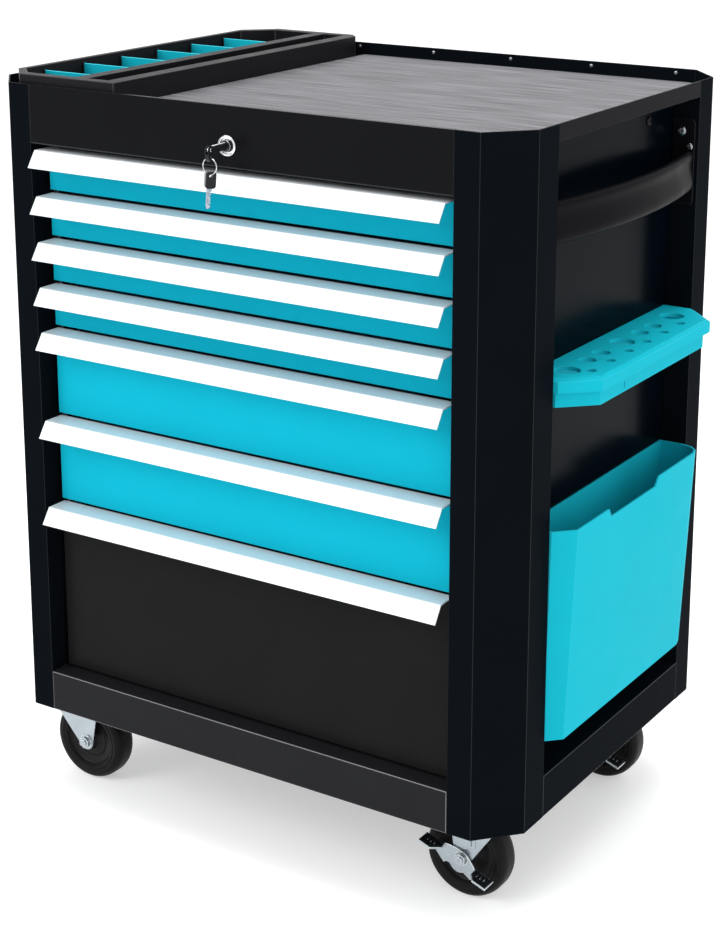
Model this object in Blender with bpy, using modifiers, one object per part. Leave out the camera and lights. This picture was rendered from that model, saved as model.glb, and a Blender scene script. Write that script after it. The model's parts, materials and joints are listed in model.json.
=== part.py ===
"""Rolling tool chest: a folded-steel cabinet on four casters with seven drawers, a lock with its keys,
a matted top with an organiser tray, and a grip, a tool holder and a bin on its right side.

Everything is authored in body coordinates, in metres: X from the middle of the cabinet to the right,
Y from the front faces to the back, Z up from the cabinet's lower edge. One empty carries the whole
chest, so that its box stands on the origin.
"""

from math import cos, hypot, radians, sin

import bmesh
import bpy
from mathutils import Matrix, Vector

# Cabinet
WIDTH = 0.680
DEPTH = 0.503
HEIGHT = 0.748
CHAMFER_X = 0.040
CHAMFER_Y = 0.0445
SHEET = 0.0016
GAP = 0.0003
HALF = WIDTH / 2
OPENING_HALF = HALF - CHAMFER_X - 0.029

# Side recess, the same on both sides
PANEL_X = 0.308
RECESS_FRONT = 0.0855
RECESS_BACK = 0.4245
RAIL_HEIGHT = 0.048
FASCIA_BOTTOM = 0.682

# Worktop
PAN_BOTTOM = 0.7305
PAN_TOP = 0.7315
MAT_TOP = 0.7333
PAN_INSET = 0.0022
MAT_INSET = 0.0045

# Drawers, from the top: heights in units
UNIT = 0.0523
DRAWER_UNITS = (1, 1, 1, 1, 2, 2, 4)
DRAWERS_TOP = 0.676
DRAWER_GAP = 0.0038
FRONT_HALF = 0.2635
FRONT_FACE = 0.0215
BOX_HALF = 0.2459
BOX_BACK = 0.452
BOX_SHEET = 0.0012
HANDLE_SHEET = 0.0016
CLIP_HEIGHT = 0.0090
RUNNER_FRONT = 0.042
RUNNER_BACK = 0.446

# Lock and keys, all in the middle of the cabinet
LOCK_Z = 0.706
KEY_HINGE_Y = -0.0305
HEAD_HALF = 0.0048
HEAD_HOLE_Z = 0.6990
RING_RADIUS = 0.0095
RING_WIRE = 0.00065
RING_TOP_Z = 0.6979

# Casters
WHEEL_RADIUS = 0.050
WHEEL_WIDTH = 0.030
AXLE_Z = -0.067
AXLE_RADIUS = 0.0045
LEG_SHEET = 0.0022
LEG_OFFSET = WHEEL_WIDTH / 2 + 0.0015
BASE_PAN_BOTTOM = 0.0100
PLATE_TOP = BASE_PAN_BOTTOM - GAP
PLATE_BOTTOM = PLATE_TOP - 0.0025
FIXED_X = -0.272
FRONT_CASTER_Y = 0.075
SWIVEL_FRONT_Y = 0.088
SWIVEL_X = 0.283
TRAIL = 0.031
REAR_CASTER_Y = DEPTH - FRONT_CASTER_Y
SWIVEL_REAR_Y = DEPTH - SWIVEL_FRONT_Y
BRAKE_TILT = radians(20)

# Organiser tray
TRAY_TOP = HEIGHT + 0.010
TRAY_BOTTOM = PAN_TOP + GAP
TRAY_LEFT = -0.317
TRAY_RIGHT = -0.155
MAT_LEFT = TRAY_RIGHT + 0.002
TRAY_FRONT = 0.006
TRAY_BACK = 0.492
DIVIDER_FIRST = 0.0725
DIVIDER_PITCH = 0.068
DIVIDERS = 6

# Side accessories
HOLDER_TOP = 0.488
HOLDER_OUT = 0.379
HOLDER_CHAMFER = 0.034
HOLDER_PLATE = 0.0045
INNER_ROW_X = 0.337
OUTER_ROW_X = 0.358
HOLE_FIRST = 0.122
BIG_HOLE_PITCH = 0.1275
SMALL_HOLE_FIRST = 0.135
SMALL_HOLE_PITCH = 0.0437
BIG_HOLE = 0.0140
MEDIUM_HOLE = 0.0100
SMALL_HOLE = 0.0055
BIN_TOP = 0.324
BIN_BOTTOM = 0.087
ACCESSORY_FRONT = RECESS_FRONT + 0.0013
ACCESSORY_BACK = RECESS_BACK - 0.0028

# The chest's box, which the carrying empty moves onto the origin
BOX_FRONT_Y = KEY_HINGE_Y - HEAD_HALF
BODY_OFFSET = (-(HOLDER_OUT - HALF) / 2, -(BOX_FRONT_Y + DEPTH) / 2, WHEEL_RADIUS - AXLE_Z)

# A plane's matrix takes an outline's two axes, and its thickness, to the body's axes
XY = Matrix.Identity(4)
XZ = Matrix(((1, 0, 0, 0), (0, 0, -1, 0), (0, 1, 0, 0), (0, 0, 0, 1)))
YZ = Matrix(((0, 0, 1, 0), (1, 0, 0, 0), (0, 1, 0, 0), (0, 0, 0, 1)))

PLACES = {}


def clear_scene():
    for obj in list(bpy.data.objects):
        bpy.data.objects.remove(obj, do_unlink=True)


def new_collection(name, hidden=False):
    group = bpy.data.collections.new(name)
    group.hide_render = hidden
    bpy.context.scene.collection.children.link(group)
    return group


def new_material(name, colour, roughness, metallic=0.0):
    material = bpy.data.materials.new(name)
    material.use_nodes = True
    shader = material.node_tree.nodes["Principled BSDF"]
    shader.inputs["Base Color"].default_value = (*colour, 1)
    shader.inputs["Roughness"].default_value = roughness
    shader.inputs["Metallic"].default_value = metallic
    material.diffuse_color = (*colour, 1)
    return material


def black_paint(name):
    return new_material(name, (0.012, 0.013, 0.017), 0.3)


def cyan_paint(name):
    return new_material(name, (0.018, 0.49, 0.65), 0.35)


def cyan_plastic(name):
    return new_material(name, (0.013, 0.50, 0.64), 0.5)


def zinc(name):
    return new_material(name, (0.55, 0.60, 0.62), 0.35, 0.9)


def chrome(name):
    return new_material(name, (0.75, 0.76, 0.78), 0.15, 1.0)


def rubber(name):
    return new_material(name, (0.015, 0.015, 0.016), 0.7)


# --- Placing -------------------------------------------------------------------------------------


def new_empty(name, at, parent=None):
    """A pivot at a place given in body coordinates."""
    pivot = bpy.data.objects.new(name, None)
    pivot.empty_display_size = 0.03
    PARTS.objects.link(pivot)
    PLACES[name] = Vector(at)
    pivot.parent = parent
    pivot.location = PLACES[name] - (PLACES[parent.name] if parent else Vector())
    return pivot


def add_object(name, shape, at, parent, collection):
    """An object from a body-coordinate mesh, with its origin at the given place."""
    bmesh.ops.translate(shape, verts=shape.verts, vec=-Vector(at))
    mesh = bpy.data.meshes.new(name)
    shape.to_mesh(mesh)
    shape.free()
    obj = bpy.data.objects.new(name, mesh)
    collection.objects.link(obj)
    obj.parent = parent
    obj.location = Vector(at) - PLACES[parent.name]
    return obj


def add_part(name, shape, material, at=(0, 0, 0), parent=None, smooth=False):
    part = add_object(name, shape, at, parent or CHEST, PARTS)
    part.data.materials.append(material(name))
    if smooth:
        part.data.shade_smooth()
        part.data.set_sharp_from_angle(angle=radians(32))
    return part


def add_helper(name, shape):
    """A cutter, or a shape that a Boolean joins to a part."""
    helper = add_object(name, shape, (0, 0, 0), CHEST, CUTTERS)
    helper.hide_render = True
    helper.display_type = "WIRE"
    return helper


def boolean(part, helper, operation):
    modifier = part.modifiers.new(helper.name, "BOOLEAN")
    modifier.operation = operation
    modifier.solver = "EXACT"
    modifier.object = helper


def cut(part, *shapes):
    for number, shape in enumerate(shapes, 1):
        boolean(part, add_helper(f"{part.name}_cutter_{number}", shape), "DIFFERENCE")


def join(part, *shapes):
    for number, shape in enumerate(shapes, 1):
        boolean(part, add_helper(f"{part.name}_joined_{number}", shape), "UNION")


def thicken(part, thickness):
    """Gives an open sheet its thickness, behind its visible face."""
    solidify = part.modifiers.new("Solidify", "SOLIDIFY")
    solidify.thickness = thickness
    solidify.offset = -1
    solidify.use_even_offset = True


# --- Shapes --------------------------------------------------------------------------------------


def box(low, high):
    low, high = Vector(low), Vector(high)
    shape = bmesh.new()
    place = Matrix.Translation((low + high) / 2) @ Matrix.Diagonal((*(high - low), 1))
    bmesh.ops.create_cube(shape, size=1, matrix=place)
    return shape


def cylinder(start, end, radius, end_radius=None, segments=20):
    start, end = Vector(start), Vector(end)
    along = end - start
    turn = along.to_track_quat("Z", "Y").to_matrix().to_4x4()
    shape = bmesh.new()
    bmesh.ops.create_cone(
        shape,
        cap_ends=True,
        segments=segments,
        radius1=radius,
        radius2=radius if end_radius is None else end_radius,
        depth=along.length,
        matrix=Matrix.Translation((start + end) / 2) @ turn,
    )
    return shape


def together(*shapes):
    """One mesh that holds all the given bodies."""
    whole = bmesh.new()
    for shape in shapes:
        mesh = bpy.data.meshes.new("body")
        shape.to_mesh(mesh)
        shape.free()
        whole.from_mesh(mesh)
        bpy.data.meshes.remove(mesh)
    return whole


def mirrored_x(shape):
    """The shape on the other side of the middle plane, still facing out."""
    bmesh.ops.scale(shape, verts=shape.verts, vec=(-1, 1, 1))
    bmesh.ops.reverse_faces(shape, faces=shape.faces)
    return shape


def prism(outline, plane, low, high):
    """A flat outline with thickness, from low to high along the third axis."""
    curve = bpy.data.curves.new("outline", "CURVE")
    curve.dimensions = "2D"
    curve.fill_mode = "BOTH"
    curve.extrude = (high - low) / 2
    spline = curve.splines.new("POLY")
    spline.points.add(len(outline) - 1)
    for point, (u, v) in zip(spline.points, outline):
        point.co = (u, v, 0, 1)
    spline.use_cyclic_u = True
    guide = bpy.data.objects.new("outline", curve)
    CUTTERS.objects.link(guide)
    graph = bpy.context.evaluated_depsgraph_get()
    mesh = bpy.data.meshes.new_from_object(guide.evaluated_get(graph))
    shape = bmesh.new()
    shape.from_mesh(mesh)
    bmesh.ops.remove_doubles(shape, verts=shape.verts, dist=1e-6)
    bmesh.ops.recalc_face_normals(shape, faces=shape.faces)
    middle = (low + high) / 2
    lift = -middle if plane is XZ else middle
    shape.transform(plane @ Matrix.Translation((0, 0, lift)))
    bpy.data.objects.remove(guide)
    bpy.data.curves.remove(curve)
    bpy.data.meshes.remove(mesh)
    return shape


def folded(path, plane, low, high):
    """The visible face of a folded sheet: it lies to the right of the path."""
    ends = sorted((-low, -high)) if plane is XZ else (low, high)
    shape = bmesh.new()
    rows = [[shape.verts.new((u, v, w)) for w in ends] for u, v in path]
    for (first, first_up), (second, second_up) in zip(rows, rows[1:]):
        shape.faces.new((first, second, second_up, first_up))
    shape.transform(plane)
    return shape


def mirrored_path(path):
    return [(-u, v) for u, v in reversed(path)]


def arc(centre, radius, start, end, steps):
    """Points on an arc, with its angles in degrees."""
    angles = [radians(start + (end - start) * i / steps) for i in range(steps + 1)]
    return [(centre[0] + radius * cos(a), centre[1] + radius * sin(a)) for a in angles]


def body_outline(inset):
    """The cabinet's plan, with its four chamfered corners, moved in by inset."""
    slope = hypot(CHAMFER_X, CHAMFER_Y)
    corner_x = HALF - CHAMFER_X - inset * (slope - CHAMFER_X) / CHAMFER_Y
    corner_y = CHAMFER_Y + inset * (slope - CHAMFER_Y) / CHAMFER_X
    side = HALF - inset
    right = [(corner_x, inset), (side, corner_y), (side, DEPTH - corner_y), (corner_x, DEPTH - inset)]
    return right + mirrored_path(right)


def turned(name, profile, material, at, turn, parent=None, segments=24):
    """A round piece: its profile of radius and height is closed and turned about its own Z."""
    shape = bmesh.new()
    points = [shape.verts.new((radius, 0, height)) for radius, height in profile]
    for first, second in zip(points, points[1:] + points[:1]):
        shape.edges.new((first, second))
    mesh = bpy.data.meshes.new(name)
    shape.to_mesh(mesh)
    shape.free()
    part = bpy.data.objects.new(name, mesh)
    PARTS.objects.link(part)
    part.parent = parent or CHEST
    part.location = Vector(at) - PLACES[part.parent.name]
    part.rotation_euler = turn
    part.data.materials.append(material(name))
    screw = part.modifiers.new("Screw", "SCREW")
    screw.steps = screw.render_steps = segments
    screw.use_merge_vertices = True
    screw.merge_threshold = 0.00001
    return part


# --- Cabinet -------------------------------------------------------------------------------------


def worktop_room():
    """The space over the worktop's underside, inside the posts' sheets."""
    return prism(body_outline(SHEET + GAP), XY, PAN_BOTTOM - GAP, HEIGHT + 0.05)


def base_room():
    """The space that the base pan takes, inside the posts' sheets."""
    return prism(body_outline(SHEET + GAP), XY, -0.02, BASE_PAN_BOTTOM + 0.0023)


def corner_posts():
    path = [
        (OPENING_HALF, 0.032),
        (OPENING_HALF, 0),
        (HALF - CHAMFER_X, 0),
        (HALF, CHAMFER_Y),
        (HALF, RECESS_FRONT),
        (PANEL_X + GAP, RECESS_FRONT),
    ]
    for side, outline in (("right", path), ("left", mirrored_path(path))):
        post = add_part(f"front_post_{side}", folded(outline, XY, 0, HEIGHT), black_paint)
        thicken(post, SHEET)
        cut(post, worktop_room(), base_room())


def back_shell():
    right = [
        (PANEL_X + GAP, RECESS_BACK),
        (HALF, RECESS_BACK),
        (HALF, DEPTH - CHAMFER_Y),
        (HALF - CHAMFER_X, DEPTH),
    ]
    shell = add_part("back_shell", folded(right + mirrored_path(right), XY, 0, HEIGHT), black_paint)
    thicken(shell, SHEET)
    cut(shell, worktop_room(), base_room())


def side_panels():
    low = (PANEL_X - 0.0015, 0.050, BASE_PAN_BOTTOM + 0.0025)
    high = (PANEL_X, DEPTH - 0.045, PAN_BOTTOM - 0.0005)
    add_part("side_panel_right", box(low, high), black_paint)
    add_part("side_panel_left", mirrored_x(box(low, high)), black_paint)


def side_rails():
    """The bottom rail on each side: an outer face with a return below and a ledge on top."""
    path = [(HALF - 0.012, 0), (HALF, 0), (HALF, RAIL_HEIGHT), (PANEL_X + GAP, RAIL_HEIGHT)]
    for side, outline in (("right", path), ("left", mirrored_path(path))):
        rail = folded(outline, XZ, RECESS_FRONT + GAP, RECESS_BACK - GAP)
        thicken(add_part(f"side_rail_{side}", rail, black_paint), SHEET - 0.0001)


def front_base_rail():
    path = [(0.040, RAIL_HEIGHT), (0, RAIL_HEIGHT), (0, 0), (0.014, 0)]
    half = OPENING_HALF - GAP
    thicken(add_part("front_base_rail", folded(path, YZ, -half, half), black_paint), SHEET)


def base_pan():
    top = BASE_PAN_BOTTOM + 0.0020
    add_part("base_pan", prism(body_outline(PAN_INSET), XY, BASE_PAN_BOTTOM, top), black_paint)


def lock_fascia():
    path = [(0.0045, HEIGHT), (0, HEIGHT), (0, FASCIA_BOTTOM), (0.030, FASCIA_BOTTOM)]
    half = OPENING_HALF - GAP
    fascia = add_part("lock_fascia", folded(path, YZ, -half, half), black_paint)
    thicken(fascia, SHEET)
    cut(fascia, cylinder((0, -0.01, LOCK_Z), (0, 0.02, LOCK_Z), 0.0093))


def worktop():
    """The steel top sheet with its two upturned side rims, and the mat on it."""
    pan = add_part("worktop_pan", prism(body_outline(PAN_INSET), XY, PAN_BOTTOM, PAN_TOP), black_paint)
    inner, edge, turn = HALF - PAN_INSET - 0.0010, HALF - 0.0015, PAN_TOP - 0.0002
    low = PAN_BOTTOM - 0.0003
    rim = [(inner, low), (HALF, low), (HALF, HEIGHT), (edge, HEIGHT), (edge, turn), (inner, turn)]
    front, back = RECESS_FRONT + GAP, RECESS_BACK - GAP
    join(pan, prism(rim, XZ, front, back), prism(mirrored_path(rim), XZ, front, back))

    def grey(name):
        return new_material(name, (0.30, 0.30, 0.34), 0.6)

    right_half = [point for point in body_outline(MAT_INSET) if point[0] > 0]
    mat = [(MAT_LEFT, MAT_INSET)] + right_half + [(MAT_LEFT, DEPTH - MAT_INSET)]
    add_part("worktop_mat", prism(mat, XY, PAN_TOP + GAP, MAT_TOP), grey)


def push_handle():
    """A curved band that bulges out of the recess, its top rolled in, between two end brackets."""
    low, high = 0.624, 0.669
    front, back = RECESS_FRONT + GAP, RECESS_BACK - GAP
    middle, half = (front + back) / 2, (back - front) / 2 - 0.0008
    bulge, ends = 0.0185, 0.3375
    section = [(-0.0120, high - 0.0015), (-0.0065, high), (-0.0020, high - 0.0040)]
    section += [(0, high - 0.0130), (-0.0006, low + 0.0060), (-0.0022, low), (-0.0090, low)]
    shape = bmesh.new()
    stations = 16
    rows = []
    for i in range(stations + 1):
        t = 2 * i / stations - 1
        out = ends + bulge * (1 - t * t)
        rows.append([shape.verts.new((out + u, middle + half * t, z)) for u, z in section])
    for row, after in zip(rows, rows[1:]):
        for a, b, c, d in zip(row, row[1:], after[1:], after):
            shape.faces.new((a, b, c, d))
    handle = add_part("push_handle", shape, black_paint, smooth=True)
    thicken(handle, 0.0025)
    brackets = [
        box((PANEL_X + 0.0015, front, 0.607), (ends + 0.0005, front + 0.0020, 0.705)),
        box((PANEL_X + 0.0015, back - 0.0020, 0.607), (ends + 0.0005, back, 0.705)),
    ]
    join(handle, together(*brackets))


# --- Drawers -------------------------------------------------------------------------------------


def channel(x_back, x_open, middle, half_height, front, back):
    """The outer face of a slide's channel: a web at x_back and two flanges that reach x_open."""
    path = [
        (x_open, middle + half_height),
        (x_back, middle + half_height),
        (x_back, middle - half_height),
        (x_open, middle - half_height),
    ]
    if x_back > x_open:
        path.reverse()
    return folded(path, XZ, front, back)


def runner_frame(side, middles):
    """Two uprights beside the drawers with a slide channel across them for each drawer."""
    inner, outer = OPENING_HALF - 0.0002, PANEL_X - 0.0022
    low, high = BASE_PAN_BOTTOM + 0.0025, PAN_BOTTOM - 0.0005
    uprights = []
    for front in (0.090, 0.380):
        back = front + 0.040
        path = [(outer, back), (inner, back), (inner, front), (outer, front)]
        uprights.append(folded(path, XY, low, high))
    channels = [
        channel(OPENING_HALF + 0.0005, 0.2575, middle, 0.0165, RUNNER_FRONT, RUNNER_BACK)
        for middle in middles
    ]
    frame_shape, channel_shape = together(*uprights), together(*channels)
    if side == "left":
        frame_shape, channel_shape = mirrored_x(frame_shape), mirrored_x(channel_shape)
    frame = add_part(f"runner_frame_{side}", frame_shape, zinc)
    thicken(frame, SHEET - 0.0002)
    helper = add_helper(f"runner_frame_{side}_channels", channel_shape)
    thicken(helper, 0.0013)
    boolean(frame, helper, "UNION")


def tray_shell(half, front, back, low, high):
    """An open box's outer faces, without its top."""
    shape = box((-half, front, low), (half, back, high))
    top = [face for face in shape.faces if face.normal.z > 0.5]
    bmesh.ops.delete(shape, geom=top, context="FACES")
    return shape


def drawer_front(low, high):
    """The front sheet with its side and bottom edges turned back."""
    shape = box((-FRONT_HALF, FRONT_FACE, low), (FRONT_HALF, FRONT_FACE + 0.010, high))
    away = [face for face in shape.faces if face.normal.y > 0.5 or face.normal.z > 0.5]
    bmesh.ops.delete(shape, geom=away, context="FACES")
    return shape


def grip_strip(top):
    """The strip along a drawer's top edge: a clip behind the front, a flange and a hanging lip."""
    path = [
        (FRONT_FACE + 0.0036, top - CLIP_HEIGHT),
        (FRONT_FACE + 0.0036, top),
        (-0.0030, top),
        (-0.0150, top - 0.0180),
    ]
    return folded(path, YZ, -FRONT_HALF, FRONT_HALF)


def drawer(number, top, units):
    pivot = new_empty(f"drawer_{number}", (0, FRONT_FACE, top), CHEST)
    low = top - units * UNIT + DRAWER_GAP
    at = (0, FRONT_FACE, top)
    paint = black_paint if number == len(DRAWER_UNITS) else cyan_paint
    front_top = top - HANDLE_SHEET - GAP
    body = add_part(f"drawer_{number}_box", drawer_front(low, front_top), paint, at, pivot)
    thicken(body, BOX_SHEET)
    tray = tray_shell(BOX_HALF, FRONT_FACE + 0.0006, BOX_BACK, low + 0.0004, top - 0.0115)
    middle = low + 0.0235
    size = (BOX_HALF - 0.0007, 0.2630, middle, 0.0145, FRONT_FACE + 0.0125, BOX_BACK - 0.002)
    slides = together(channel(*size), mirrored_x(channel(*size)))
    for helper_name, shape in (("tray", tray), ("slides", slides)):
        helper = add_helper(f"drawer_{number}_{helper_name}", shape)
        thicken(helper, BOX_SHEET)
        boolean(body, helper, "UNION")
    clip_room = (-FRONT_HALF - 0.01, FRONT_FACE + BOX_SHEET + GAP, top - CLIP_HEIGHT - GAP)
    cut(body, box(clip_room, (FRONT_HALF + 0.01, FRONT_FACE + 0.02, top + 0.01)))

    def silver(name):
        return new_material(name, (0.86, 0.88, 0.90), 0.35, 0.3)

    strip = add_part(f"drawer_{number}_handle", grip_strip(top), silver, at, pivot)
    thicken(strip, HANDLE_SHEET)
    return middle


def drawers():
    top = DRAWERS_TOP
    middles = []
    for number, units in enumerate(DRAWER_UNITS, 1):
        middles.append(drawer(number, top, units))
        top -= units * UNIT
    runner_frame("right", middles)
    runner_frame("left", middles)


# --- Lock and keys -------------------------------------------------------------------------------


def lock():
    """The barrel in the fascia, the turning plug with its cam, and the bar that the cam lifts."""
    face_out = (radians(90), 0, 0)
    flange, body, bore = 0.0112, 0.0090, 0.0069
    profile = [
        (bore, 0.0028),
        (flange - 0.0012, 0.0028),
        (flange, 0.0016),
        (flange, GAP),
        (body, GAP),
        (body, -0.0300),
        (bore, -0.0300),
    ]
    turned("lock_barrel", profile, chrome, (0, 0, LOCK_Z), face_out)

    pivot = new_empty("lock_pivot", (0, 0, LOCK_Z), CHEST)
    plug = cylinder((0, 0.0335, LOCK_Z), (0, -0.0035, LOCK_Z), 0.0066)
    cylinder_part = add_part("lock_cylinder", plug, chrome, (0, 0, LOCK_Z), pivot, smooth=True)
    cam = arc((0, LOCK_Z), 0.0085, 90, -90, 8) + [(-0.0150, LOCK_Z - 0.0045), (-0.0150, LOCK_Z + 0.0045)]
    join(cylinder_part, prism(cam, XZ, 0.0315, 0.0330))
    cut(cylinder_part, box((-0.0012, -0.01, LOCK_Z - 0.0046), (0.0012, 0.0160, LOCK_Z + 0.0046)))

    fingers = [(-0.2645, 0.7000), (-0.0150, 0.7000), (-0.0150, 0.6880), (-0.2645, 0.6880)]
    bar = [(-0.2700, 0.7000)] + fingers + [(-0.2645, 0.0620), (-0.2700, 0.0620)]
    add_part("lock_bar", prism(bar, XZ, 0.0345, 0.0365), zinc)
    return pivot


def keys(pivot):
    """The folding key in the lock and the wire ring through its head."""
    half, end = 0.0042, KEY_HINGE_Y
    blade = [(0.0150, LOCK_Z - 0.002), (0.0150, LOCK_Z + 0.002), (0.0120, LOCK_Z + half)]
    blade += [(end, LOCK_Z + 0.0036)] + arc((end, LOCK_Z), 0.0036, 110, 250, 5)
    blade += [(end, LOCK_Z - 0.0036), (0.0120, LOCK_Z - half)]
    add_part("key_blade", prism(blade, YZ, -0.0009, 0.0009), chrome, (0, 0, LOCK_Z), pivot)

    def dark_plastic(name):
        return new_material(name, (0.03, 0.035, 0.04), 0.4)

    fold = new_empty("key_fold_pivot", (0, KEY_HINGE_Y, LOCK_Z), pivot)
    outline = arc((end, LOCK_Z), HEAD_HALF, 0, 180, 8) + arc((end, HEAD_HOLE_Z), HEAD_HALF, 180, 360, 8)
    head = prism(outline, YZ, -0.0023, 0.0023)
    at = (0, KEY_HINGE_Y, LOCK_Z)
    key_head = add_part("key_head", head, dark_plastic, at, fold, smooth=True)
    slot = box((-0.0013, end - 0.02, LOCK_Z - 0.0042), (0.0013, end + 0.02, LOCK_Z + 0.02))
    hole = cylinder((-0.01, end, HEAD_HOLE_Z), (0.01, end, HEAD_HOLE_Z), 0.0024, segments=14)
    cut(key_head, slot, hole)

    swing = new_empty("ring_pivot", (0, KEY_HINGE_Y, RING_TOP_Z), fold)
    curve = bpy.data.curves.new("key_ring", "CURVE")
    curve.dimensions = "3D"
    curve.bevel_depth = RING_WIRE
    curve.bevel_resolution = 1
    spline = curve.splines.new("POLY")
    loop = arc((0, -RING_RADIUS), RING_RADIUS, 90, 435, 23)
    spline.points.add(len(loop) - 1)
    for point, (x, z) in zip(spline.points, loop):
        point.co = (x, 0, z, 1)
    spline.use_cyclic_u = True
    curve.materials.append(chrome("key_ring"))
    ring = bpy.data.objects.new("key_ring", curve)
    PARTS.objects.link(ring)
    ring.parent = swing


# --- Casters -------------------------------------------------------------------------------------


def wheel(name, at, parent=None):
    """Rubber tread and dished hub faces in one turned piece, with a bore for the axle bolt."""
    half = WHEEL_WIDTH / 2
    face = [
        (AXLE_RADIUS + 0.0003, half),
        (0.0110, half),
        (0.0135, half - 0.0055),
        (0.0310, half - 0.0055),
        (0.0340, half - 0.0010),
        (0.0450, half - 0.0005),
        (0.0488, half - 0.0040),
        (WHEEL_RADIUS, half - 0.0090),
    ]
    profile = face + [(radius, -height) for radius, height in reversed(face)]
    turned(name, profile, rubber, at, (radians(90), 0, 0), parent)


def leg_outline(axle_x, left, right, top, shoulder):
    """A fork leg in elevation: straight below its top, then tapering to a round end at the axle."""
    end = arc((axle_x, AXLE_Z), 0.0105, 200, 350, 8)
    return [(left, top), (left, shoulder)] + end + [(right, shoulder), (right, top)]


def fork_legs(outline, middle_y):
    inner, outer = LEG_OFFSET, LEG_OFFSET + LEG_SHEET
    near = prism(outline, XZ, middle_y - outer, middle_y - inner)
    return together(near, prism(outline, XZ, middle_y + inner, middle_y + outer))


def axle_bore(x, y, radius):
    return cylinder((x, y - 0.05, AXLE_Z), (x, y + 0.05, AXLE_Z), radius, segments=12)


def axle(name, x, y, reach, parent=None):
    """An axle bolt through the wheel: a nut near its free end, and its head outside the far leg."""
    outer = LEG_OFFSET + LEG_SHEET + GAP
    at = (x, y, AXLE_Z)
    ends = (x, y - reach, AXLE_Z), (x, y + outer + 0.004, AXLE_Z)
    shank = cylinder(*ends, AXLE_RADIUS - 0.0002, segments=12)
    bolt = add_part(name, shank, zinc, at, parent, smooth=True)
    nut = cylinder((x, y - reach + 0.0015, AXLE_Z), (x, y - reach + 0.0065, AXLE_Z), 0.0078, segments=6)
    head = cylinder((x, y + outer, AXLE_Z), (x, y + outer + 0.005, AXLE_Z), 0.0078, segments=6)
    join(bolt, nut, head)


def caster_plate(x, y, low, high):
    return box((x - 0.036, y - 0.045, low), (x + 0.036, y + 0.045, high))


def fixed_caster(side, y):
    """A pressed fork with its mounting plate, an axle bolt and a wheel."""
    left, right, top = FIXED_X - 0.0425, FIXED_X + 0.0165, PLATE_TOP - 0.0010
    legs = fork_legs(leg_outline(FIXED_X, left, right, top, -0.034), y)
    fork = add_part(f"fixed_fork_{side}", legs, zinc)
    join(fork, caster_plate(FIXED_X - 0.013, y, PLATE_BOTTOM, PLATE_TOP))
    cut(fork, axle_bore(FIXED_X, y, AXLE_RADIUS))
    axle(f"fixed_axle_{side}", FIXED_X, y, LEG_OFFSET + LEG_SHEET + GAP + 0.0065)
    wheel(f"wheel_{side}_left", (FIXED_X, y, AXLE_Z))


def swivel_fork(name, pivot, y):
    """A bearing crown with two legs that trail behind it to the axle."""
    axle_x = SWIVEL_X - TRAIL
    outline = leg_outline(axle_x, axle_x - 0.0185, SWIVEL_X + 0.020, -0.004, -0.010)
    fork = add_part(name, fork_legs(outline, y), zinc, (SWIVEL_X, y, 0), pivot)
    reach = LEG_OFFSET + 0.001
    bridge = box((axle_x - 0.0180, y - reach, -0.0078), (SWIVEL_X + 0.0195, y + reach, -0.0045))
    crown_top, crown_bottom = (SWIVEL_X, y, PLATE_BOTTOM - GAP), (SWIVEL_X, y, -0.0060)
    join(fork, bridge, cylinder(crown_top, crown_bottom, 0.0300, segments=28))
    cut(fork, axle_bore(axle_x, y, AXLE_RADIUS))


def brake_lever(name, pivot, y):
    """A rocker plate on the axle bolt, with a foot pad turned out at each end."""
    axle_x = SWIVEL_X - TRAIL
    back = y - LEG_OFFSET - LEG_SHEET - 0.0006
    front = back - 0.0022
    plate = [(-0.0300, 0.0020), (-0.0240, 0.0095), (-0.0040, 0.0105), (0.0080, 0.0100), (0.0290, 0.0000)]
    plate += [(0.0290, -0.0060), (0.0170, -0.0105), (-0.0080, -0.0120), (-0.0300, -0.0040)]
    blade = prism(plate, XZ, front, back)
    pads = [
        box((-0.0480, front - 0.0180, -0.0010), (-0.0250, back - 0.0005, 0.0017)),
        box((0.0235, front - 0.0180, -0.0045), (0.0440, back - 0.0005, -0.0018)),
    ]
    place = Matrix.Translation((axle_x, 0, AXLE_Z)) @ Matrix.Rotation(BRAKE_TILT, 4, "Y")
    for shape in [blade] + pads:
        shape.transform(place)
    at = (axle_x, y, AXLE_Z)
    lever = add_part(name, blade, zinc, at, new_empty(f"{name}_pivot", at, pivot))
    join(lever, *pads)
    cut(lever, axle_bore(axle_x, y, AXLE_RADIUS + 0.0003))


def swivel_caster(side, y):
    axle_x = SWIVEL_X - TRAIL
    add_part(f"caster_plate_{side}", caster_plate(SWIVEL_X, y, PLATE_BOTTOM, PLATE_TOP), zinc)
    pivot = new_empty(f"swivel_{side}", (SWIVEL_X, y, 0), CHEST)
    swivel_fork(f"swivel_fork_{side}", pivot, y)
    lever_room = 0.0006 + 0.0022
    reach = LEG_OFFSET + LEG_SHEET + lever_room + GAP + 0.0065
    axle(f"swivel_axle_{side}", axle_x, y, reach, pivot)
    wheel(f"wheel_{side}_right", (axle_x, y, AXLE_Z), pivot)
    brake_lever(f"brake_lever_{side}", pivot, y)


# --- Organiser, tool holder and bin --------------------------------------------------------------


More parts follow.
